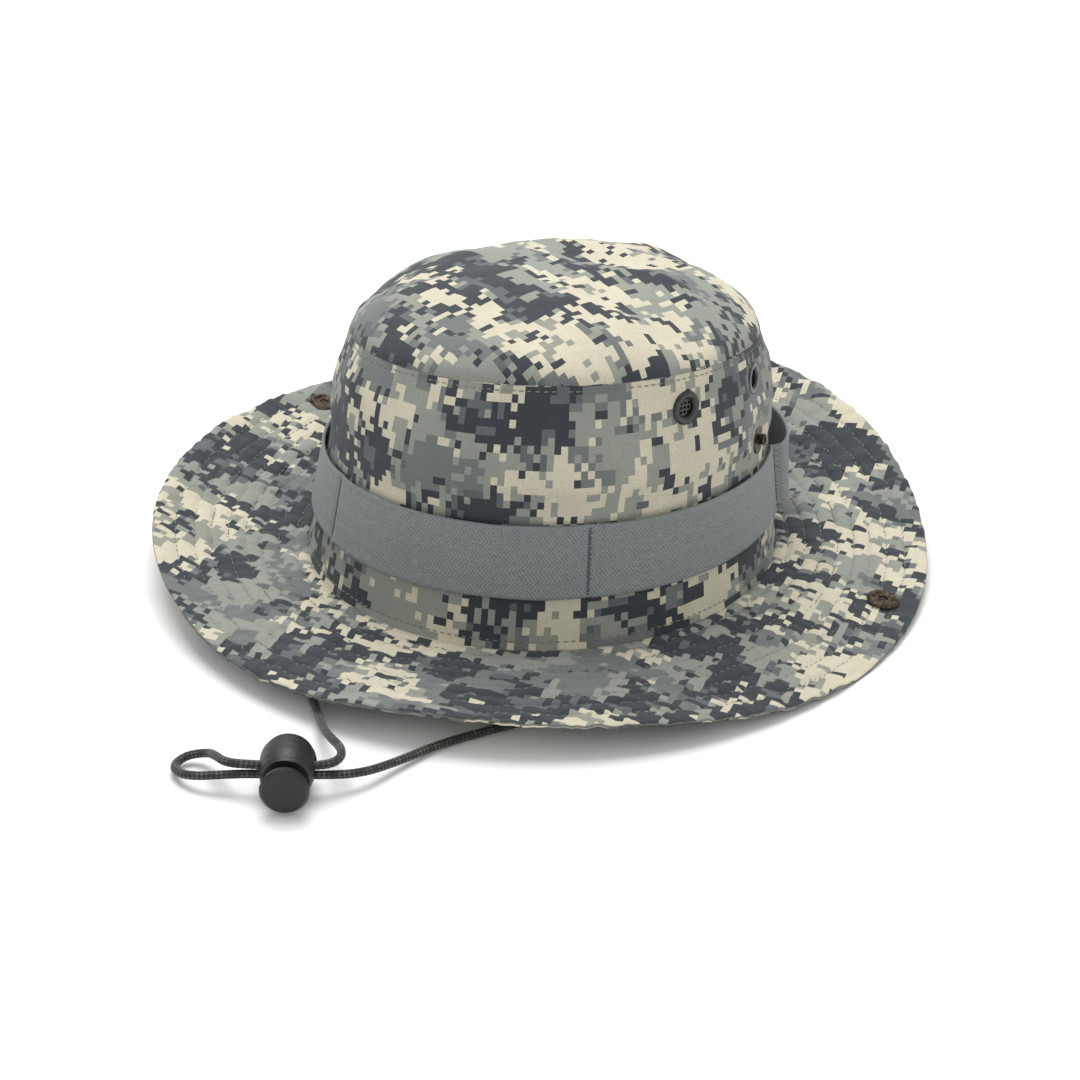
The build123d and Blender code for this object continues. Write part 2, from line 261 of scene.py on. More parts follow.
def braided_cord():
    line = cord_line()
    radius = cord_thickness / 2
    steps = [0.0]
    for a, b in zip(line, line[1:]):
        steps.append(steps[-1] + (b - a).length)
    total = steps[-1]
    sides = []
    side = Vector((1, 0, 0))
    for i, point in enumerate(line):
        ahead = (line[min(i + 1, len(line) - 1)] - line[max(i - 1, 0)]).normalized()
        side = (side - ahead * side.dot(ahead)).normalized()
        sides.append((side.copy(), ahead.cross(side)))
    rings, around = 1500, 24
    found = []
    j = 0
    for i in range(rings + 1):
        reach = total * i / rings
        while j < len(steps) - 2 and steps[j + 1] < reach:
            j += 1
        share = (reach - steps[j]) / max(steps[j + 1] - steps[j], 1e-9)
        centre = line[j].lerp(line[j + 1], share)
        one = sides[j][0].lerp(sides[j + 1][0], share)
        other = sides[j][1].lerp(sides[j + 1][1], share)
        found.append((centre, one, other))

    def place(u, v):
        centre, one, other = found[round(u * rings)]
        turn, run = 2 * pi * v, 2 * pi * u * total / braid_lay
        weave = cos(4 * turn + run) * cos(4 * turn - run)
        inside = 1 if 0 < u < 1 else 0
        reach = radius * (0.95 + 0.05 * weave) * inside
        return centre + (one * cos(turn) + other * sin(turn)) * reach

    def cut(u, v):
        return (u * total, v * 2 * pi * radius)

    return woven_piece("chin_cord_braid", rings, around, place, cut, ring=False), line


cord, cord_path = braided_cord()
material, wiring, shader = finish_of("black_olive_braid", 0.72, sheen=0.25)
place = own_map(wiring)
split = wiring.add("ShaderNodeSeparateXYZ", {0: place}).outputs
run = wiring.maths("MULTIPLY", split[0], 2 * pi / braid_lay)
turn = wiring.maths("MULTIPLY", split[1], 4 / (cord_thickness / 2))
one_way = wiring.maths("COSINE", wiring.maths("ADD", run, turn))
other_way = wiring.maths("COSINE", wiring.maths("SUBTRACT", turn, run))
yarn_crown_shade = wiring.between(wiring.maths("MULTIPLY", one_way, other_way), -0.3, 0.6)
patch = wiring.between(wiring.noise(place, 240.0, 3.0), 0.42, 0.66)
# Painted shade: the braid is coloured darker in the grooves between its yarns and lighter on their crowns,
# following the relief of the braid.
shade = wiring.mix(yarn_crown_shade, paint(13, 15, 16), paint(36, 41, 40))
shade = wiring.mix(wiring.maths("MULTIPLY", yarn_crown_shade, patch), shade, paint(92, 97, 84))
wiring.set(shader.inputs["Base Color"], shade)
raised(wiring, shader, wiring.noise(place, 2600.0, 1.0), 0.0002, 0.6)
dress(cord, material)
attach(cord, "hat")
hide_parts("chin_cord")
[tuple(p) for p in cord_path]


# Crown wall
# One oval band of printed cotton with a thin lining, closed by a seam at the
# back. It leans and tapers upwards, puffs out over the webbing and creases.
seam_half_width = 0.0905
seam_half_length = 0.1005
seam_height = 0.0095
wall_height = 0.092
tip_share = 0.845
wall_cloth = 0.0012
band_low, band_high = 0.0185, 0.0435
eyelet_up, eyelet_turns = 0.079, (-22.5, 8.5, 171.5, 202.5)
eyelet_hole_radius = 0.0048
stud_up, stud_turns = 0.054, (10.0, 164.0)


def crown_point(turn, up, inset=0.0):
    """A point of the crown wall, with turn in degrees from the hat's left side."""
    share = up / wall_height
    shrink = 1 - (1 - tip_share) * share
    x = (seam_half_width * shrink - inset) * cos(radians(turn))
    y = (seam_half_length * shrink - inset) * sin(radians(turn))
    z = seam_height + up + share * (0.07 * x - 0.10 * y)
    return Vector((x + 0.004 * share, y - 0.0045 * share, z))


def round_noise(turn, tightness, shift):
    """Smooth noise round the hat that meets itself again after a full turn."""
    return noise.noise(Vector((cos(radians(turn)), sin(radians(turn)), 0)) * tightness + Vector(shift))


def hump(x, middle, width):
    return exp(-(((x - middle) / width) ** 2))


def held_flat(turn, up):
    """Near 0 round the eyelets and studs, which hold the cloth flat, and 1 elsewhere."""
    free = 1.0
    for fixed_up, turns in ((eyelet_up, eyelet_turns), (stud_up, stud_turns)):
        for fixed in turns:
            gap = (turn - fixed + 180) % 360 - 180
            free *= 1 - exp(-((gap * 0.0015) ** 2 + (up - fixed_up) ** 2) / 0.009**2)
    return free


def wall_fall(turn, up):
    """How far the wall's cloth stands out from its even oval, in metres."""
    ring = Vector((cos(radians(turn)), sin(radians(turn)), 0))
    open_wall = min(1.0, max(0.0, (up - 0.044) / 0.012)) * min(1.0, max(0.0, (0.091 - up) / 0.012))
    puff = 0.0024 * sin(pi * min(1.0, max(0.0, (up - 0.044) / 0.047)) ** 0.75)
    sway = noise.noise(ring * 1.7 + Vector((0, 0, up * 26))) * 0.003
    lean = noise.noise(ring * 6.0 + Vector((3, up * 60, up * 22))) * 0.0010
    crease = 0.0007 * (1 - 2 * abs(noise.noise(ring * 3.1 + Vector((7, 0, up * 55)))))
    held = hump(up, 0.0465, 0.006) + hump(up, 0.0885, 0.004)
    pinch = round_noise(turn, 19, (0, 5, up * 40)) * 0.0006 * held
    foot = round_noise(turn, 13, (0, 9, up * 30)) * 0.0005 * hump(up, 0.009, 0.007)
    flare = 0.0007 * exp(-up / 0.003)
    groove = -0.0006 * hump(up, 0.0915, 0.0007) - 0.0003 * hump(up, 0.0893, 0.0006)
    back_seam = -0.0006 * hump((turn - 90 + 180) % 360 - 180, 0, 0.35)
    loose = (puff + sway + lean + crease) * open_wall + pinch
    return loose * held_flat(turn, up) + foot + flare + groove + back_seam


def wall_surface(turn, up):
    return crown_point(turn, up, -wall_fall(turn, up))


def wall_place(u, v):
    turn = 90 + 360 * u
    if v <= 0.7:
        return wall_surface(turn, -0.0015 + (wall_height + 0.0015) * v / 0.7)
    share = min(1.0, (v - 0.7) / 0.28)
    up = wall_height - (wall_height + 0.0015) * share
    if v > 0.98:
        return crown_point(turn, up, -wall_fall(turn, up) + wall_cloth * (1 - v) / 0.02)
    return crown_point(turn, up, wall_cloth - wall_fall(turn, up))


def wall_cut(u, v):
    up = wall_height * v / 0.7 if v <= 0.7 else wall_height * (1 - (v - 0.7) / 0.3)
    return (u * 0.6, up + 0.0016)


def digital_print():
    """Small squares of four shades in ragged patches, printed along the threads."""
    tree, given, out = effect(
        "digital_print",
        [("Place", "NodeSocketVector", (0, 0, 0)), ("Squares per metre", "NodeSocketFloat", 365.0)],
        [("Colour", "NodeSocketColor"), ("Darkness", "NodeSocketFloat")],
    )
    w = Wiring(tree)
    squares = w.vector("SCALE", given["Place"], scale=given["Squares per metre"])
    one = w.vector("ADD", w.vector("FLOOR", squares), (0.5, 0.5, 0.5))
    pair = w.vector("FLOOR", w.vector("MULTIPLY", squares, (0.5, 0.5, 0)))
    pair = w.vector("ADD", pair, (0.5, 0.5, 9.5))

    def random_of(place):
        return w.add("ShaderNodeTexWhiteNoise", {"Vector": place}, noise_dimensions="3D").outputs["Value"]

    ragged = w.maths("MULTIPLY_ADD", random_of(one), 0.09, -0.045)
    ragged = w.maths("ADD", ragged, w.maths("MULTIPLY_ADD", random_of(pair), 0.10, -0.05))

    def patches(shift, scale, detail, level, stretch=(1.0, 1.35, 1.0)):
        moved = w.vector("ADD", w.vector("MULTIPLY", one, stretch), shift)
        field = w.maths("ADD", w.noise(moved, scale, detail, 0.55), ragged)
        return w.maths("GREATER_THAN", field, level)

    dark = patches((13.7, 4.1, 0.5), 0.058, 3.0, 0.487)
    cream = patches((71.3, 38.9, 8.5), 0.062, 3.0, 0.545)
    mid = patches((140.2, 91.4, 3.5), 0.085, 3.0, 0.50)
    small = patches((201.6, 17.3, 5.5), 0.24, 1.0, 0.62)
    tiny = patches((33.8, 155.2, 1.5), 0.27, 1.0, 0.625)
    colour = w.mix(mid, paint(140, 144, 135), paint(108, 113, 111))
    colour = w.mix(dark, colour, paint(50, 56, 61))
    colour = w.mix(w.maths("MULTIPLY", dark, small), colour, paint(90, 96, 98))
    colour = w.mix(cream, colour, paint(200, 194, 172))
    colour = w.mix(w.maths("MULTIPLY", cream, tiny), colour, paint(50, 56, 61))
    colour = w.mix(w.maths("MULTIPLY", cream, small), colour, paint(142, 144, 132))
    w.set(out["Colour"], colour)
    w.set(out["Darkness"], dark)
    return tree


def cotton_weave():
    """Fine crossing threads with slubs: a height, and a shade near 1 for the colour, which holds the threads'
    own uneven tone and a painted shade between the crossing threads.
    """
    tree, given, out = effect(
        "cotton_weave",
        [("Place", "NodeSocketVector", (0, 0, 0)), ("Threads per metre", "NodeSocketFloat", 1500.0)],
        [("Height", "NodeSocketFloat"), ("Shade", "NodeSocketFloat")],
    )
    w = Wiring(tree)
    threads = w.vector("SCALE", given["Place"], scale=given["Threads per metre"])
    split = w.add("ShaderNodeSeparateXYZ", {0: threads}).outputs
    warp = w.maths("SINE", w.maths("MULTIPLY", split[0], 2 * pi))
    weft = w.maths("SINE", w.maths("MULTIPLY", split[1], 2 * pi))
    twill = w.maths("SINE", w.maths("MULTIPLY", w.maths("ADD", split[0], split[1]), pi))
    slub = w.noise(w.vector("MULTIPLY", given["Place"], (260, 2200, 1)), 1.0, 2.0)
    pick = w.noise(w.vector("MULTIPLY", given["Place"], (2200, 260, 1)), 1.0, 2.0)
    weave = w.maths("MULTIPLY_ADD", w.maths("MULTIPLY", warp, weft), 0.25, 0.5)
    weave = w.maths("MULTIPLY_ADD", twill, 0.2, weave)
    uneven = w.maths("ADD", slub, pick)
    w.set(out["Height"], w.maths("MULTIPLY_ADD", uneven, 0.5, weave))
    shade = w.maths("MULTIPLY_ADD", uneven, 0.22, 0.78)
    # Painted shade: the weave term makes the colour slightly darker where the threads sink and lighter where
    # they cross on top; the slub streaks are the threads' own tone.
    w.set(out["Shade"], w.maths("MULTIPLY_ADD", weave, 0.06, w.maths("SUBTRACT", shade, 0.03)))
    return tree


print_effect, weave_effect = digital_print(), cotton_weave()


def camouflage_cloth(name, turn, shift):
    """Printed cotton, with the print turned and moved as the piece was cut from the bolt."""
    material, wiring, shader = finish_of(name, 0.88, sheen=0.12)
    place = own_map(wiring)
    laid = {"Vector": place, "Location": shift, "Rotation": (0, 0, radians(turn))}
    moved = wiring.add("ShaderNodeMapping", laid)
    printed = wiring.add("ShaderNodeGroup", node_tree=print_effect)
    wiring.set(printed.inputs["Place"], moved.outputs[0])
    woven = wiring.add("ShaderNodeGroup", node_tree=weave_effect)
    wiring.set(woven.inputs["Place"], moved.outputs[0])
    worn = wiring.between(wiring.noise(place, 38.0, 4.0), 0.3, 0.7, 0.93, 1.05)
    shade = wiring.maths("MULTIPLY", woven.outputs["Shade"], worn)
    shade = wiring.add("ShaderNodeCombineColor", {0: shade, 1: shade, 2: shade}).outputs[0]
    wiring.set(shader.inputs["Base Color"], wiring.mix(1.0, printed.outputs["Colour"], shade, "MULTIPLY"))
    rub = wiring.maths("MULTIPLY_ADD", wiring.noise(place, 150.0, 3.0), 0.14, 0.8)
    wiring.set(shader.inputs["Roughness"], rub)
    crumple = wiring.noise(place, 210.0, 3.0)
    height = wiring.maths("MULTIPLY_ADD", crumple, 2.2, woven.outputs["Height"])
    raised(wiring, shader, height, 0.00022)
    return material


def punched(made):
    """Opens the cloth behind each eyelet's flange and closes the edge between its two faces."""
    bm = bmesh.new()
    bm.from_mesh(made.data)
    for turn in eyelet_turns:
        middle = crown_point(turn, eyelet_up)
        inside = [f for f in bm.faces if (f.calc_center_median() - middle).length < eyelet_hole_radius]
        bmesh.ops.delete(bm, geom=inside, context="FACES")
        rims = [e for e in bm.edges if e.is_boundary]
        bmesh.ops.bridge_loops(bm, edges=rims)
    bmesh.ops.recalc_face_normals(bm, faces=bm.faces)
    bm.to_mesh(made.data)
    bm.free()


wall = woven_piece("crown_wall_cloth", 320, 100, wall_place, wall_cut)
punched(wall)
dress(wall, camouflage_cloth("camouflage_wall", 0, (0.031, 0.017, 0)))
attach(wall, "hat")
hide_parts("crown_wall")


# Crown tip
# A single oval of the same cloth, cut on its own grain and sewn down all round.
# It bags into a soft dome with long shallow creases.
tip_rise = 0.023
tip_half_width, tip_steps = 0.081, 200
tip_narrow, tip_long = 0.948, 1.052  # of its oval cut, against a round one


def tip_lift(share):
    return (1 - share**2.8) ** 0.68 * tip_rise


tip_reach = [0.0]
for i in range(tip_steps):
    climb = tip_lift((i + 1) / tip_steps) - tip_lift(i / tip_steps)
    tip_reach.append(tip_reach[-1] + hypot(tip_half_width / tip_steps, climb))


def tip_point(turn, share, drop=0.0):
    """A point of the tip, with share 1 at its seam and 0 in its middle."""
    middle = Vector((0.004, -0.0045, seam_height + wall_height))
    rim = crown_point(turn, wall_height) - middle
    up = Vector((-0.07, 0.10, 1)).normalized()
    flat = rim * share
    lift = tip_lift(share)
    inner = 1 - share**8
    sway = noise.noise(Vector((flat.x * 22, flat.y * 22, 2))) * 0.0046
    fold = 1 - abs(noise.noise(Vector((flat.x * 17 + flat.y * 9, flat.y * 26, 6)))) * 3.2
    small = noise.noise(Vector((flat.x * 70, flat.y * 70, 4))) * 0.0011
    pucker = round_noise(turn, 17, (0, 0, share * 3)) * 0.0008 * hump(share, 0.95, 0.05)
    seam = -0.0006 * hump(share, 1.0, 0.012)
    rise = lift + (sway + 0.0022 * max(-0.6, fold) + small) * inner + pucker + seam - drop
    return middle + rim * (share - drop * 12.5 * hump(share, 1.0, 0.3)) + up * rise


def tip_place(u, v):
    if v <= 0.5:
        return tip_point(360 * u, 1 - v / 0.5)
    if v < 0.98:
        return tip_point(360 * u, (v - 0.51) / 0.47 if v > 0.51 else 0.0, wall_cloth)
    return tip_point(360 * u, 1.0, wall_cloth * (1 - v) / 0.02)


def tip_cut(u, v):
    share = 1 - v / 0.5 if v <= 0.5 else (v - 0.51) / 0.49
    reach = tip_reach[min(tip_steps, round(share * tip_steps))]
    return (reach * tip_narrow * cos(2 * pi * u), reach * tip_long * sin(2 * pi * u))


tip = woven_piece("crown_tip_cloth", 260, 100, tip_place, tip_cut)
dress(tip, camouflage_cloth("camouflage_tip", 24, (0.41, 0.222, 0)))
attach(tip, "hat")
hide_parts("crown_tip")


# Stitching of the crown
# Grey-green cotton thread in small even stitches: one row under the tip seam,
# one over the brim seam and two beside the seam at the back.
def sewn_row(bm, path, start, stop, pitch, stitch, thick):
    """Lays stitches along path(t), which gives a point and the way out of the cloth."""
    samples = [start + (stop - start) * i / 500 for i in range(501)]
    places = [path(t)[0] for t in samples]
    reach = [0.0]
    for a, b in zip(places, places[1:]):
        reach.append(reach[-1] + (b - a).length)
    count = int(reach[-1] / pitch)
    j = 0
    for i in range(count):
        goal = (i + 0.5) * reach[-1] / count
        while reach[j + 1] < goal:
            j += 1
        t = samples[j] + (samples[j + 1] - samples[j]) * (goal - reach[j]) / (reach[j + 1] - reach[j])
        here, out = path(t)
        ahead = (path(t + (stop - start) * 0.001)[0] - here).normalized()
        out = (out - ahead * out.dot(ahead)).normalized()
        across = out.cross(ahead)
        turned = Matrix((ahead * stitch / 2, across * thick / 2, out * thick / 2)).transposed().to_4x4()
        turned.translation = here + out * thick * 0.12
        bmesh.ops.create_icosphere(bm, subdivisions=1, radius=1.0, matrix=turned)


def sewn_piece(name, bm, material):
    for face in bm.faces:
        face.smooth = True
    made = made_piece(name, bm)
    dress(made, material)
    return made


def thread_material(name, colour, pale):
    material, wiring, shader = finish_of(name, 0.7, sheen=0.1)
    place = wiring.add("ShaderNodeTexCoord").outputs["Object"]
    strand = wiring.noise(place, 900.0, 2.0)
    wiring.set(shader.inputs["Base Color"], wiring.mix(wiring.between(strand, 0.3, 0.7), colour, pale))
    raised(wiring, shader, wiring.noise(place, 3500.0, 1.0), 0.0001)
    return material


def wall_row(up):
    return lambda turn: (wall_surface(turn, up), Vector((cos(radians(turn)), sin(radians(turn)), 0.1)))


def back_row(turn):
    return lambda up: (wall_surface(turn, up), Vector((cos(radians(turn)), sin(radians(turn)), 0.1)))


grey_thread = thread_material("grey_green_thread", paint(98, 103, 96), paint(136, 139, 128))
rows = bmesh.new()
sewn_row(rows, wall_row(0.0893), 0, 360, 0.0029, 0.0023, 0.00055)
sewn_row(rows, wall_row(0.0024), 0, 360, 0.0029, 0.0023, 0.00055)
for turn in (88.4, 91.6):
    sewn_row(rows, back_row(turn), 0.003, 0.0885, 0.0029, 0.0023, 0.0005)
crown_rows = sewn_piece("crown_stitching", rows, grey_thread)
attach(crown_rows, "hat")


# Tip seam tape
# A narrow grey tape is sewn round inside the crown over the raw edges of the
# tip seam.
def tape_place(u, v):
    turn = 360 * u
    low, high, front, behind = 0.0865, 0.0915, wall_cloth + 0.0003, wall_cloth + 0.001
    wave = 0.0002 * round_noise(turn, 11, (0, 2, 0))
    if v <= 0.45:
        return crown_point(turn, low + (high - low) * v / 0.45, behind + wave)
    if v <= 0.5:
        return crown_point(turn, high, behind + wave + (front - behind) * (v - 0.45) / 0.05)
    if v <= 0.95:
        return crown_point(turn, high + (low - high) * (v - 0.5) / 0.45, front + wave)
    return crown_point(turn, low, front + (behind - front) * (v - 0.95) / 0.05 + wave)


def plain_cloth(name, colour, threads):
    """Undyed or dyed tape and lining cloth, woven without a print."""
    material, wiring, shader = finish_of(name, 0.88, sheen=0.12)
    place = own_map(wiring)
    woven = wiring.add("ShaderNodeGroup", node_tree=weave_effect)
    wiring.set(woven.inputs["Place"], place)
    woven.inputs["Threads per metre"].default_value = threads
    worn = wiring.between(wiring.noise(place, 45.0, 4.0), 0.3, 0.7, 0.85, 1.08)
    shade = wiring.maths("MULTIPLY", woven.outputs["Shade"], worn)
    shade = wiring.add("ShaderNodeCombineColor", {0: shade, 1: shade, 2: shade}).outputs[0]
    wiring.set(shader.inputs["Base Color"], wiring.mix(1.0, colour, shade, "MULTIPLY"))
    wiring.set(shader.inputs["Roughness"], wiring.maths("MULTIPLY_ADD", worn, 0.2, 0.66))
    raised(wiring, shader, woven.outputs["Height"], 0.0003)
    return material


tape = woven_piece("tip_seam_tape_cloth", 200, 20, tape_place, lambda u, v: (u * 0.5, v * 0.018))
dress(tape, plain_cloth("grey_tape", paint(98, 103, 97), 900.0))
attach(tape, "hat")
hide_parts("tip_seam_tape")


# Sweatband
# A folded band of grey-green twill inside the wall. It is sewn into the brim
# seam, and its lower rim hangs just below the brim and carries the hat.
sweat_top, sweat_cloth, sweat_inset = 0.030, 0.0016, 0.0015


def sweat_point(turn, height, inset):
    """Height runs from the rim on the table to the top edge inside the crown."""
    if height >= seam_height:
        return crown_point(turn, height - seam_height, sweat_inset + inset)
    x = (seam_half_width - sweat_inset - inset) * cos(radians(turn))
    y = (seam_half_length - sweat_inset - inset) * sin(radians(turn))
    return Vector((x, y, height))


def sweat_place(u, v):
    turn = 90 + 360 * u
    top = seam_height + sweat_top
    wave = 0.00012 * round_noise(turn, 9, (0, 0, 8))
    if v <= 0.44:
        height = top * (1 - v / 0.44)
        welt = 0.0002 * hump(height, top - 0.003, 0.0008) + 0.0002 * hump(height, 0.004, 0.0008)
        return sweat_point(turn, max(height, 0.0004), sweat_cloth - welt + wave)
    if v <= 0.5:
        phase = (v - 0.44) / 0.06
        return sweat_point(turn, 0.0004 * abs(1 - 2 * phase), sweat_cloth * (1 - phase))
    if v <= 0.94:
        return sweat_point(turn, max(0.0004, top * (v - 0.5) / 0.44), 0.0)
    phase = (v - 0.94) / 0.06
    return sweat_point(turn, top + 0.0004 * sin(pi * phase), sweat_cloth * phase)


sweat = woven_piece("sweatband_cloth", 240, 100, sweat_place, lambda u, v: (u * 0.58, v * 0.09))
dress(sweat, plain_cloth("sweatband_twill", paint(100, 106, 97), 1100.0))
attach(sweat, "hat")
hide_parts("sweatband")


# Brim
# Two outer plies of printed cotton over a stiffer interlining, turned at the
# edge and quilted together.
brim_width, brim_thickness = 0.0615, 0.0021
brim_edge_heights = (3.5, 11.0, 29.0, 33.0, 22.0, 17.0, 21.0, 20.0, 13.5, 12.0, 15.5, 7.5)
quilt_rows = (0.0058, 0.0124, 0.019, 0.0256, 0.0322, 0.0388, 0.0454)
hem_row = 0.0527
bend_from, bend_to, bend_height = 0.087, 0.101, 0.016


def edge_height(turn):
    """Smooth closed curve through the heights of the brim's edge, in metres."""
    count = len(brim_edge_heights)
    total = sum(brim_edge_heights) / count
    for order in range(1, count // 2 + 1):
        weight = 1 if order == count // 2 else 2
        for i, height in enumerate(brim_edge_heights):
            total += weight * height * cos(order * (turn - 2 * pi * i / count)) / count
    return total / 1000


edge_table = [edge_height(radians(i / 4)) for i in range(1441)]


def brim_height(x, y):
    reach = hypot(x / seam_half_width, y / seam_half_length)
    turn = atan2(y / seam_half_length, x / seam_half_width) % (2 * pi) / pi * 720
    edge = edge_table[int(turn)] + (edge_table[int(turn) + 1] - edge_table[int(turn)]) * (turn % 1)
    out = max(0.0, (reach - 1) * (seam_half_width + seam_half_length) / 2 / brim_width)
    return seam_height + (edge - seam_height) * min(out, 1.3) ** 1.35


def brim_quilting(turn, out):
    """How far the quilting and the soft cloth move the brim's faces, in metres."""
    sunk = sum(hump(out, row, 0.0009) for row in quilt_rows) * 0.0009
    sunk += hump(out, hem_row, 0.0008) * 0.0006 + hump(out, 0.0, 0.0012) * 0.0008
    channel = int((out + 0.0008) / 0.0066)
    ring = Vector((cos(turn), sin(turn), 0)) * (9.0 + channel * 0.6)
    gather = 0.5 + 0.5 * noise.noise(Vector((cos(turn) * 2, sin(turn) * 2, 31)))
    crinkle = noise.noise(ring * 1.7 + Vector((0, 0, channel * 3.7 + out * 90))) * 0.0019 * gather
    crinkle += noise.noise(ring * 3.6 + Vector((4, 4, channel * 2.3))) * 0.0007
    swell = noise.noise(Vector((cos(turn) * 2.2, sin(turn) * 2.2, out * 30))) * 0.0022 * min(1.0, out / 0.03)
    edge = 0.0004 * hump(out, 0.0575, 0.003)
    return crinkle * min(1.0, out / 0.006) + swell - sunk + edge


def brim_flat_at_snap(turn, out):
    free = 1.0
    for snap in stud_turns:
        gap = (turn * 180 / pi - snap + 180) % 360 - 180
        free *= 1 - exp(-((gap * 0.0024) ** 2 + (out - 0.048) ** 2) / 0.008**2)
    return free


def brim_point(turn, out, drop=0.0):
    x = (seam_half_width + out) * cos(turn)
    y = (seam_half_length + out) * sin(turn)
    lift = brim_quilting(turn, out) * brim_flat_at_snap(turn, out)
    return Vector((x, y, brim_height(x, y) + lift - drop))


def brim_section(v):
    """Distance out from the seam and drop below the top face, round the closed section."""
    rim = brim_width - brim_thickness / 2
    if v <= 0.46:
        return rim * v / 0.46, 0.0
    if v <= 0.5:
        phase = (v - 0.46) / 0.04 * pi
        return rim + brim_thickness / 2 * sin(phase), brim_thickness / 2 * (1 - cos(phase))
    if v <= 0.96:
        return rim * (0.96 - v) / 0.46, brim_thickness
    return 0.0, brim_thickness * (1 - v) / 0.04


def brim_place(u, v, side):
    turn = side - pi / 2 + pi * u
    out, drop = brim_section(v)
    return brim_point(turn, out, drop)


def brim_cut(u, v, side):
    turn = side - pi / 2 + pi * u
    out, drop = brim_section(v)
    under = 0.7 if v > 0.48 else 0.0
    return ((seam_half_width + out) * cos(turn) + under, (seam_half_length + out) * sin(turn) + under)


def brim_row(out):
    def path(turn):
        here = brim_point(turn, out)
        along = brim_point(turn + 0.01, out) - here
        outward = brim_point(turn, out + 0.001) - here
        return here, outward.cross(along)

    return path


brim_material = camouflage_cloth("camouflage_brim", -9, (0.113, 0.327, 0))
sides = {"right": (0.0, 1), "left": (pi, -1)}
for side, (middle, sign) in sides.items():
    brim = woven_piece(
        f"brim_cloth_{side}",
        400,
        150,
        lambda u, v: brim_place(u, v, middle),
        lambda u, v: brim_cut(u, v, middle),
        ring=False,
    )
    dress(brim, brim_material)
    plies = [f"brim_{ply}" for ply in ("upper_ply", "interlining", "under_ply")]
    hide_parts(*plies, *[f"{ply}_{side}" for ply in plies])
    rows = bmesh.new()
    for out in (*quilt_rows, hem_row):
        sewn_row(rows, brim_row(out), middle - pi / 2, middle + pi / 2, 0.003, 0.0024, 0.0005)
    brim_rows = sewn_piece(f"brim_stitching_{side}", rows, grey_thread)
    for made in (brim, brim_rows):
        start, end = (sign * bend_from, 0, bend_height), (sign * bend_to, 0, bend_height)
        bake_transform(made)
        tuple(start)
        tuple(end)


# Branch-loop band
# A ribbed nylon webbing goes round the crown and is tacked at five places, so
# that it makes loops. The one past the left eyelets stands well off the cloth.
band_thickness, band_gap = 0.0013, 0.0012
first_tack, tack_step = -49.0, 72
tack_turns = [first_tack + tack_step * i for i in range(5)]


def band_off(turn, share):
    around = (turn - first_tack) % 360
    loop, along = int(around // tack_step), around % tack_step / tack_step
    slack = (0.0005, 0.0074, 0.001, 0.0002, 0.0004)[loop]
    lean = 1.0 if loop != 1 else 0.75 + 0.25 * share
    rise = sin(pi * along ** (0.55 if loop == 1 else 0.9)) ** 0.75 if 0 < along < 1 else 0.0
    return slack * rise * lean


def band_point(turn, up, outwards):
    share = (up - band_low) / (band_high - band_low)
    tack = min(abs((turn - t + 180) % 360 - 180) for t in tack_turns)
    pulled = -0.0005 * exp(-((tack / 0.7) ** 2))
    wave = round_noise(turn, 5, (0, 0, 14 + share)) * 0.0004
    return crown_point(turn, up + wave, -band_gap - outwards - band_off(turn, share) - pulled)


def band_place(u, v):
    turn = first_tack + 360 * u
    if v <= 0.44:
        share = v / 0.44
        selvedge = 0.00018 * (hump(share, 0.03, 0.03) + hump(share, 0.97, 0.03))
        return band_point(turn, band_low + (band_high - band_low) * share, band_thickness - 0.0002 + selvedge)
    if v <= 0.5:
        phase = (v - 0.44) / 0.06
        return band_point(turn, band_high + 0.0004 * sin(pi * phase), band_thickness * (1 - phase))
    if v <= 0.94:
        return band_point(turn, band_high - (band_high - band_low) * (v - 0.5) / 0.44, 0.0)
    phase = (v - 0.94) / 0.06
    return band_point(turn, band_low - 0.0004 * sin(pi * phase), band_thickness * phase)


def webbing_material():
    material, wiring, shader = finish_of("grey_webbing", 0.66, sheen=0.15)
    place = own_map(wiring)
    split = wiring.add("ShaderNodeSeparateXYZ", {0: place}).outputs
    zigzag = wiring.maths("PINGPONG", split[1], 0.0032)
    slant = wiring.maths("MULTIPLY", wiring.maths("ADD", split[0], zigzag), 2 * pi * 640)
    rib = wiring.maths("MULTIPLY_ADD", wiring.maths("SINE", slant), 0.5, 0.5)
    thread = wiring.maths("SINE", wiring.maths("MULTIPLY", split[1], 2 * pi * 1500))
    fuzz = wiring.noise(wiring.vector("MULTIPLY", place, (300, 1800, 1)), 1.0, 3.0)
    height = wiring.maths("MULTIPLY_ADD", thread, 0.15, wiring.maths("ADD", rib, fuzz))
    # Painted shade: the webbing is coloured darker in the grooves between its ribs and lighter on their
    # crests, following the rib relief.
    colour = wiring.mix(wiring.maths("MULTIPLY", rib, 0.75), paint(98, 105, 108), paint(134, 140, 141))
    colour = wiring.mix(wiring.between(fuzz, 0.35, 0.75, 0.0, 0.5), colour, paint(152, 157, 156))
    soiled = wiring.between(wiring.noise(place, 26.0, 3.0), 0.35, 0.7, 0.0, 0.22)
    wiring.set(shader.inputs["Base Color"], wiring.mix(soiled, colour, paint(98, 104, 104)))
    wiring.set(shader.inputs["Roughness"], wiring.between(rib, 0.0, 1.0, 0.74, 0.58))
    raised(wiring, shader, height, 0.0002)
    return material


band = woven_piece("branch_loop_webbing", 480, 50, band_place, lambda u, v: (u * 0.59, v * 0.0568))
dress(band, webbing_material())
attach(band, "hat")
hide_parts("branch_loop_band")


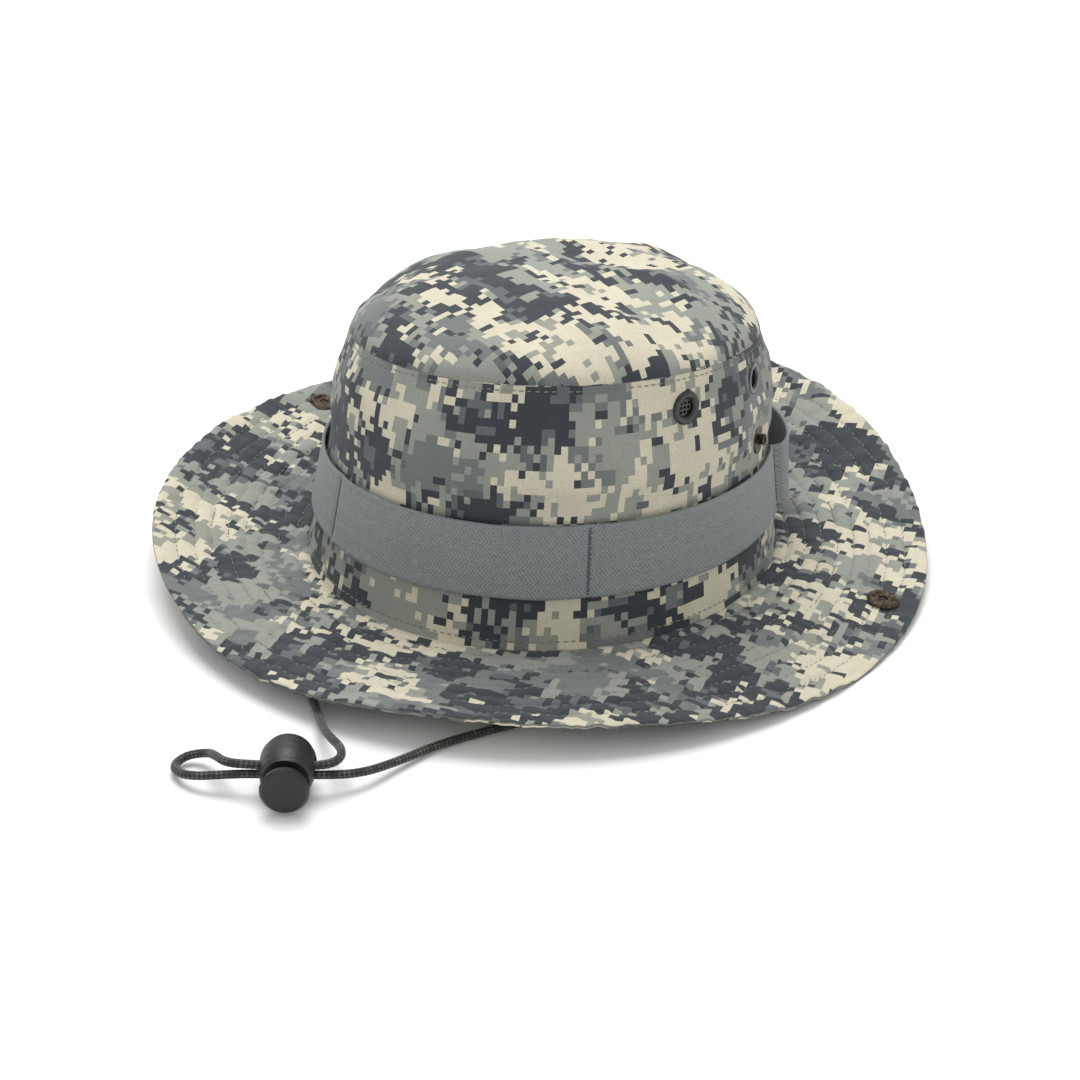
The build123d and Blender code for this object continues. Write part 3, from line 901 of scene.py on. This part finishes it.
# Bartacks
# Each tack is a close column of short stitches in dark grey thread through the
# webbing and the wall.
dark_thread = thread_material("slate_thread", paint(58, 64, 68), paint(84, 90, 94))
rows = bmesh.new()
for turn in tack_turns:
    for i in range(26):
        up = band_low + 0.0012 + i * (band_high - band_low - 0.0024) / 25
        here = band_point(turn, up, band_thickness)
        ahead = (band_point(turn + 1, up, band_thickness) - here).normalized()
        out = ahead.cross(Vector((0, 0, 1))).normalized()
        slant = Matrix.Rotation(radians(14 if i % 2 else -14), 3, out)
        tall = slant @ ahead.cross(out)
        axes = Matrix((slant @ ahead * 0.001, tall * 0.00042, out * 0.00042)).transposed().to_4x4()
        axes.translation = here - out * 0.0001
        bmesh.ops.create_icosphere(rows, subdivisions=1, radius=1.0, matrix=axes)
tacks = sewn_piece("bartack_stitches", rows, dark_thread)
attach(tacks, "hat")
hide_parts("band_bartacks")


# Vent eyelets
# Four black enamelled brass eyelets, each set through the wall over a washer
# and closed by a small perforated screen.
def black_enamel():
    material, wiring, shader = finish_of("black_enamel", 0.35, coat=0.3)
    place = wiring.add("ShaderNodeTexCoord").outputs["Object"]
    grain = wiring.noise(place, 900.0, 3.0)
    colour = wiring.mix(wiring.between(grain, 0.4, 0.7), paint(10, 10, 10), paint(26, 26, 25))
    wiring.set(shader.inputs["Base Color"], colour)
    wiring.set(shader.inputs["Roughness"], wiring.between(grain, 0.3, 0.7, 0.3, 0.5))
    raised(wiring, shader, grain, 0.0001)
    return material


enamel = black_enamel()
for node in ("vent_eyelets", "eyelet_washers", "eyelet_screens"):
    dress(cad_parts[node], enamel)


# Snaps
# A brass socket and cap are riveted through each side of the brim, and a stud
# and post through the crown above it, all blackened and rubbed on the edges.
def antique_brass():
    material, wiring, shader = finish_of("antique_brass", 0.42, metallic=1.0)
    place = wiring.add("ShaderNodeTexCoord").outputs["Object"]
    rub = wiring.between(wiring.noise(place, 700.0, 4.0), 0.35, 0.75)
    wiring.set(shader.inputs["Base Color"], wiring.mix(rub, paint(46, 39, 32), paint(104, 92, 76)))
    wiring.set(shader.inputs["Roughness"], wiring.between(rub, 0.0, 1.0, 0.55, 0.3))
    raised(wiring, shader, wiring.noise(place, 1800.0, 2.0), 0.0001)
    return material


brass = antique_brass()
brim_snaps = ("snap_socket_right", "snap_socket_left", "snap_cap_right", "snap_cap_left")
for node in (*brim_snaps, "crown_snap_studs", "crown_snap_posts"):
    dress(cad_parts[node], brass)


# Cord tabs
# A short folded tape in the sweatband seam holds each end of the cord.
tabs = bmesh.new()
tape_map = tabs.loops.layers.uv.new("cloth")
for sign in (1, -1):
    block = bmesh.ops.create_cube(tabs, size=1.0)["verts"]
    bmesh.ops.scale(tabs, verts=block, vec=(0.0034, 0.012, 0.0034))
    bmesh.ops.translate(tabs, verts=block, vec=(sign * 0.0908, -0.014, 0.0043))
rounded = {"affect": "EDGES", "segments": 3, "profile": 0.5, "material": -1}
bmesh.ops.bevel(tabs, geom=list(tabs.edges), offset=0.0008, **rounded)
bmesh.ops.subdivide_edges(tabs, edges=list(tabs.edges), cuts=2, use_grid_fill=True)
for vert in tabs.verts:
    vert.co.x += 0.0002 * noise.noise(vert.co * 500)
    vert.co.z += 0.0002 * noise.noise(vert.co * 500 + Vector((5, 5, 5)))
for face in tabs.faces:
    face.smooth = True
    for loop in face.loops:
        loop[tape_map].uv = (loop.vert.co.x + loop.vert.co.z, loop.vert.co.y)
cord_tabs = made_piece("cord_tab_tapes", tabs)
dress(cord_tabs, plain_cloth("dark_tape", paint(52, 58, 54), 900.0))
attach(cord_tabs, "hat")
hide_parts("chin_cord_tabs")


# Cord lock
# A barrel and a sprung plunger of black nylon clamp both strands of the cord.
def black_nylon():
    material, wiring, shader = finish_of("black_nylon", 0.45)
    place = wiring.add("ShaderNodeTexCoord").outputs["Object"]
    grain = wiring.noise(place, 1400.0, 3.0)
    wiring.set(shader.inputs["Base Color"], wiring.mix(grain, paint(9, 10, 13), paint(24, 26, 31)))
    wiring.set(shader.inputs["Roughness"], wiring.between(grain, 0.3, 0.7, 0.36, 0.55))
    raised(wiring, shader, grain, 0.00012)
    return material


nylon = black_nylon()
for node in ("cord_lock_body", "cord_lock_plunger"):
    dress(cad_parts[node], nylon)

steel, wiring, shader = finish_of("spring_steel", 0.28, metallic=1.0)
place = wiring.add("ShaderNodeTexCoord").outputs["Object"]
streak = wiring.noise(place, 2400.0, 2.0)
wiring.set(shader.inputs["Base Color"], wiring.mix(streak, paint(150, 150, 148), paint(206, 206, 202)))
dress(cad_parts["cord_lock_spring"], steel)


# Studio
# A plain pale floor, a soft overhead panel and even light from all round.
def studio():
    bm = bmesh.new()
    bmesh.ops.create_grid(bm, x_segments=2, y_segments=2, size=8.0)
    floor = made_piece("floor", bm)
    material, wiring, shader = finish_of("pale_floor", 0.9)
    shader.inputs["Base Color"].default_value = (0.86, 0.86, 0.86, 1)
    dress(floor, material)
    world = bpy.data.worlds.new("studio")
    bpy.context.scene.world = world
    world.use_nodes = True
    world.node_tree.nodes["Background"].inputs[0].default_value = (1, 1, 1, 1)
    world.node_tree.nodes["Background"].inputs[1].default_value = 0.78
    panels = (("overhead", (-0.35, 0.3, 1.5), 1.1, 22), ("front", (0.9, -1.5, 1.1), 1.2, 2))
    for name, place, size, power in panels:
        lamp = bpy.data.lights.new(name, "AREA")
        lamp.size = size
        lamp.energy = power
        made = bpy.data.objects.new(name, lamp)
        made.location = place
        made.rotation_euler = (Vector((0, 0, 0.05)) - Vector(place)).to_track_quat("-Z", "Y").to_euler()
        bpy.context.scene.collection.objects.link(made)
    bpy.context.scene.view_settings.view_transform = "Standard"


studio()
